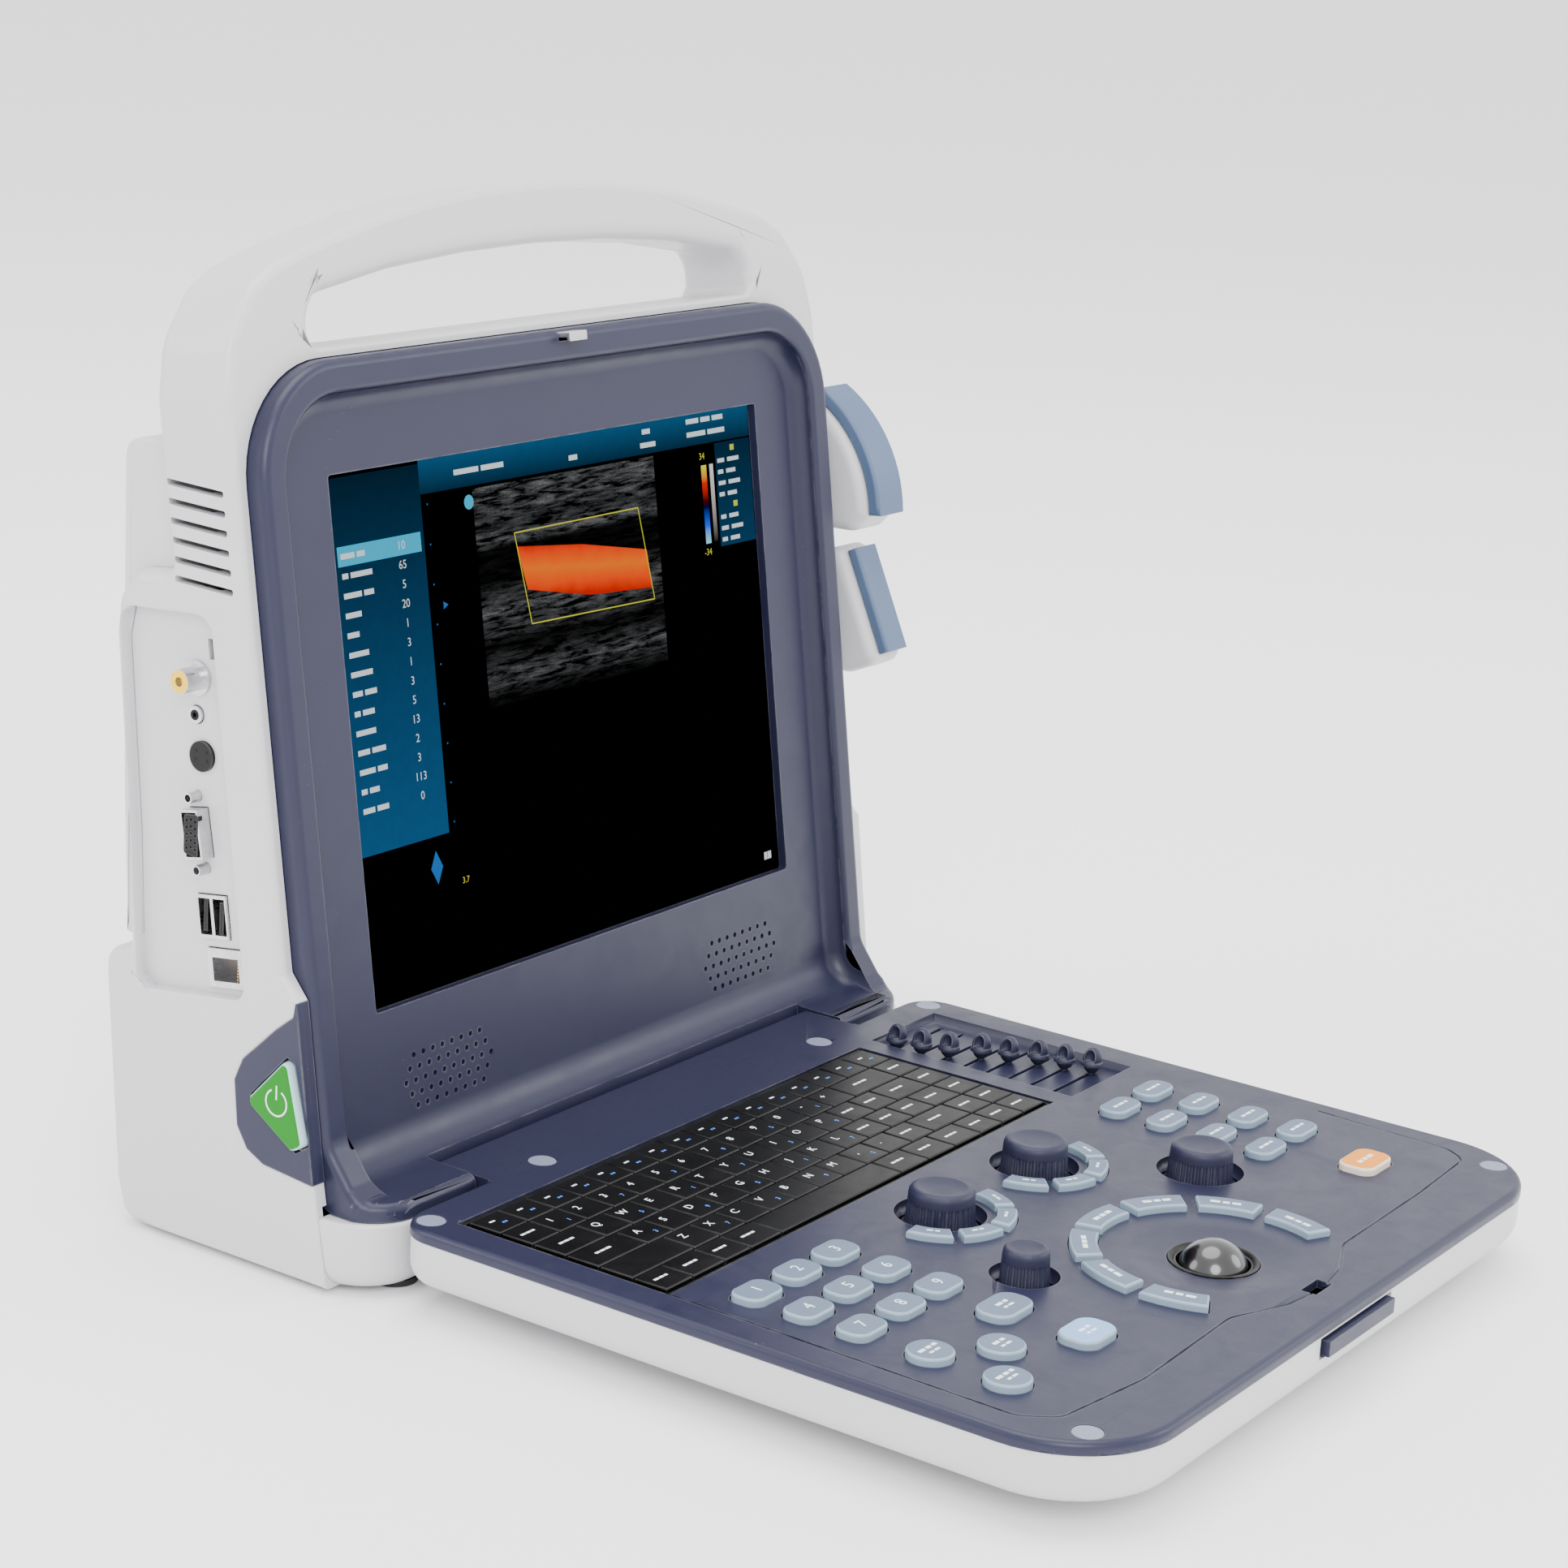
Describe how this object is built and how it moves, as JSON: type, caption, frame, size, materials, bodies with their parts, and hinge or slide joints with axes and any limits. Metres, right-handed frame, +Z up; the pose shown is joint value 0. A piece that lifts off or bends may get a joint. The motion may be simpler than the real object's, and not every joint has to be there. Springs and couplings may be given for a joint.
{
  "type": "portable ultrasound scanner",
  "caption": "Portable ultrasound scanner: white console with carrying handle, tilted screen, fold-down keyboard and trackball panel, side sockets and two probes in holders.",
  "frame": {"origin": "on the table, under the middle of the console's base, in the plane of the five rubber feet", "axes": "+Z up, +X to the operator's right, +Y from the operator to the back of the console"},
  "size_m": [0.3734, 0.4264, 0.3571],
  "materials": {
    "white_shell": "fine satin moulded ABS",
    "slate_plastic": "satin slate paint on moulded ABS",
    "key_plastic": "matt silicone keytops",
    "orange_key": "matt orange keytop",
    "green_button": "semi-gloss moulded",
    "black_plastic": "matt moulded",
    "gloss_black": "polished",
    "screen": "anti-glare display glass",
    "steel": "bright",
    "aluminium": "plain",
    "board": "solder-masked laminate",
    "rubber": "matt",
    "brass": "plated",
    "lens_blue": "acoustic lens, satin"
  },
  "bodies": {
    "console": {"main_shell": "white_shell", "rear_cover": "white_shell", "base_front": "white_shell", "screen_bezel": "slate_plastic", "screen_glass": "screen", "lcd_module": "aluminium", "lid_catch": "slate_plastic", "power_plate": "slate_plastic", "io_panel": "white_shell", "rca_socket": "brass", "audio_jack": "black_plastic", "svideo_socket": "black_plastic", "vga_socket": "steel", "usb_socket": "steel", "lan_socket": "steel", "mains_inlet": "black_plastic", "probe_sockets": "black_plastic", "main_board": "board", "power_supply": "aluminium", "cooling_fan": "black_plastic", "storage_drive": "aluminium", "speakers": "black_plastic", "battery": "black_plastic", "hinge_brackets": "steel", "rubber_feet": "rubber", "cover_screws": "steel", "probe_holder": "white_shell"},
    "panel": {"panel_cover": "slate_plastic", "panel_tray": "white_shell", "keyboard_base": "black_plastic", "control_board": "board", "trackball_ring": "gloss_black", "screw_caps": "slate_plastic", "hinge_pins": "steel"},
    "power_button_body": {"power_button": "green_button"},
    "latch": {"panel_latch": "slate_plastic"},
    "trackball_body": {"trackball": "gloss_black"},
    "focus_knob_body": {"focus_knob": "slate_plastic"},
    "zoom_knob_body": {"zoom_knob": "slate_plastic"},
    "gain_knob_body": {"gain_knob": "slate_plastic"},
    "menu_knob_body": {"menu_knob": "slate_plastic"},
    "letter_keys_body": {"letter_keys": "black_plastic"},
    "mode_keys_body": {"mode_keys": "key_plastic"},
    "patient_keys_body": {"patient_keys": "key_plastic"},
    "ring_keys_body": {"ring_keys": "key_plastic"},
    "knob_keys_body": {"knob_keys": "key_plastic"},
    "view_keys_body": {"view_keys": "key_plastic"},
    "freeze_key_body": {"freeze_key": "orange_key"},
    "convex_probe_body": {"convex_probe": "white_shell", "convex_lens": "lens_blue"},
    "linear_probe_body": {"linear_probe": "white_shell", "linear_lens": "lens_blue"},
    "tgc_slider_1_body": {"tgc_slider_1": "slate_plastic"},
    "tgc_slider_2_body": {"tgc_slider_2": "slate_plastic"},
    "tgc_slider_3_body": {"tgc_slider_3": "slate_plastic"},
    "tgc_slider_4_body": {"tgc_slider_4": "slate_plastic"},
    "tgc_slider_5_body": {"tgc_slider_5": "slate_plastic"},
    "tgc_slider_6_body": {"tgc_slider_6": "slate_plastic"},
    "tgc_slider_7_body": {"tgc_slider_7": "slate_plastic"},
    "tgc_slider_8_body": {"tgc_slider_8": "slate_plastic"}
  },
  "joints": [
    {"name": "panel_fold", "type": "hinge", "parent": "console", "child": "panel", "pos_m": [0, -0.04342, 0.028], "axis": [-1, 0, 0], "range_deg": [0, 98.3]},
    {"name": "power_press", "type": "slide", "parent": "console", "child": "power_button_body", "axis": [1, 0, 0], "range_m": [0, 0.0015], "stiffness_N_per_m": 600, "springref_m": -0.001},
    {"name": "latch_slide", "type": "slide", "parent": "panel", "child": "latch", "axis": [0, 1, 0], "range_m": [0, 0.0015], "stiffness_N_per_m": 500, "springref_m": -0.001},
    {"name": "trackball_roll", "type": "hinge", "parent": "panel", "child": "trackball_body", "pos_m": [0, -0.285, 0.0256], "axis": [1, 0, 0], "continuous": true},
    {"name": "focus_turn", "type": "hinge", "parent": "panel", "child": "focus_knob_body", "pos_m": [-0.031, -0.1965, 0.036], "axis": [0, 0, 1], "continuous": true},
    {"name": "zoom_turn", "type": "hinge", "parent": "panel", "child": "zoom_knob_body", "pos_m": [0.031, -0.1965, 0.036], "axis": [0, 0, 1], "continuous": true},
    {"name": "gain_turn", "type": "hinge", "parent": "panel", "child": "gain_knob_body", "pos_m": [0.0675, -0.2433, 0.036], "axis": [0, 0, 1], "continuous": true},
    {"name": "menu_turn", "type": "hinge", "parent": "panel", "child": "menu_knob_body", "pos_m": [-0.057, -0.2456, 0.036], "axis": [0, 0, 1], "continuous": true},
    {"name": "tgc_slide_1", "type": "slide", "parent": "panel", "child": "tgc_slider_1_body", "axis": [1, 0, 0], "range_m": [-0.0004, 0.0314]},
    {"name": "tgc_slide_2", "type": "slide", "parent": "panel", "child": "tgc_slider_2_body", "axis": [1, 0, 0], "range_m": [-0.0024, 0.0294]},
    {"name": "tgc_slide_3", "type": "slide", "parent": "panel", "child": "tgc_slider_3_body", "axis": [1, 0, 0], "range_m": [-0.0064, 0.0254]},
    {"name": "tgc_slide_4", "type": "slide", "parent": "panel", "child": "tgc_slider_4_body", "axis": [1, 0, 0], "range_m": [-0.0139, 0.0179]},
    {"name": "tgc_slide_5", "type": "slide", "parent": "panel", "child": "tgc_slider_5_body", "axis": [1, 0, 0], "range_m": [-0.0179, 0.0139]},
    {"name": "tgc_slide_6", "type": "slide", "parent": "panel", "child": "tgc_slider_6_body", "axis": [1, 0, 0], "range_m": [-0.0234, 0.0084]},
    {"name": "tgc_slide_7", "type": "slide", "parent": "panel", "child": "tgc_slider_7_body", "axis": [1, 0, 0], "range_m": [-0.0264, 0.0054]},
    {"name": "tgc_slide_8", "type": "slide", "parent": "panel", "child": "tgc_slider_8_body", "axis": [1, 0, 0], "range_m": [-0.03, 0.0018]},
    {"name": "letter_press", "type": "slide", "parent": "panel", "child": "letter_keys_body", "axis": [0, 0, -1], "range_m": [0, 0.0013], "stiffness_N_per_m": 400, "springref_m": -0.001},
    {"name": "mode_press", "type": "slide", "parent": "panel", "child": "mode_keys_body", "axis": [0, 0, -1], "range_m": [0, 0.0016], "stiffness_N_per_m": 400, "springref_m": -0.001},
    {"name": "patient_press", "type": "slide", "parent": "panel", "child": "patient_keys_body", "axis": [0, 0, -1], "range_m": [0, 0.0016], "stiffness_N_per_m": 400, "springref_m": -0.001},
    {"name": "ring_press", "type": "slide", "parent": "panel", "child": "ring_keys_body", "axis": [0, 0, -1], "range_m": [0, 0.0016], "stiffness_N_per_m": 400, "springref_m": -0.001},
    {"name": "knob_press", "type": "slide", "parent": "panel", "child": "knob_keys_body", "axis": [0, 0, -1], "range_m": [0, 0.0016], "stiffness_N_per_m": 400, "springref_m": -0.001},
    {"name": "view_press", "type": "slide", "parent": "panel", "child": "view_keys_body", "axis": [0, 0, -1], "range_m": [0, 0.0016], "stiffness_N_per_m": 400, "springref_m": -0.001},
    {"name": "freeze_press", "type": "slide", "parent": "panel", "child": "freeze_key_body", "axis": [0, 0, -1], "range_m": [0, 0.0016], "stiffness_N_per_m": 300, "springref_m": -0.001},
    {"name": "convex_probe_lift", "type": "slide", "parent": "console", "child": "convex_probe_body", "axis": [0, -0.8387, 0.5446], "range_m": [0, 0.06]},
    {"name": "linear_probe_lift", "type": "slide", "parent": "console", "child": "linear_probe_body", "axis": [0, -0.9063, 0.4226], "range_m": [0, 0.06]}
  ]
}
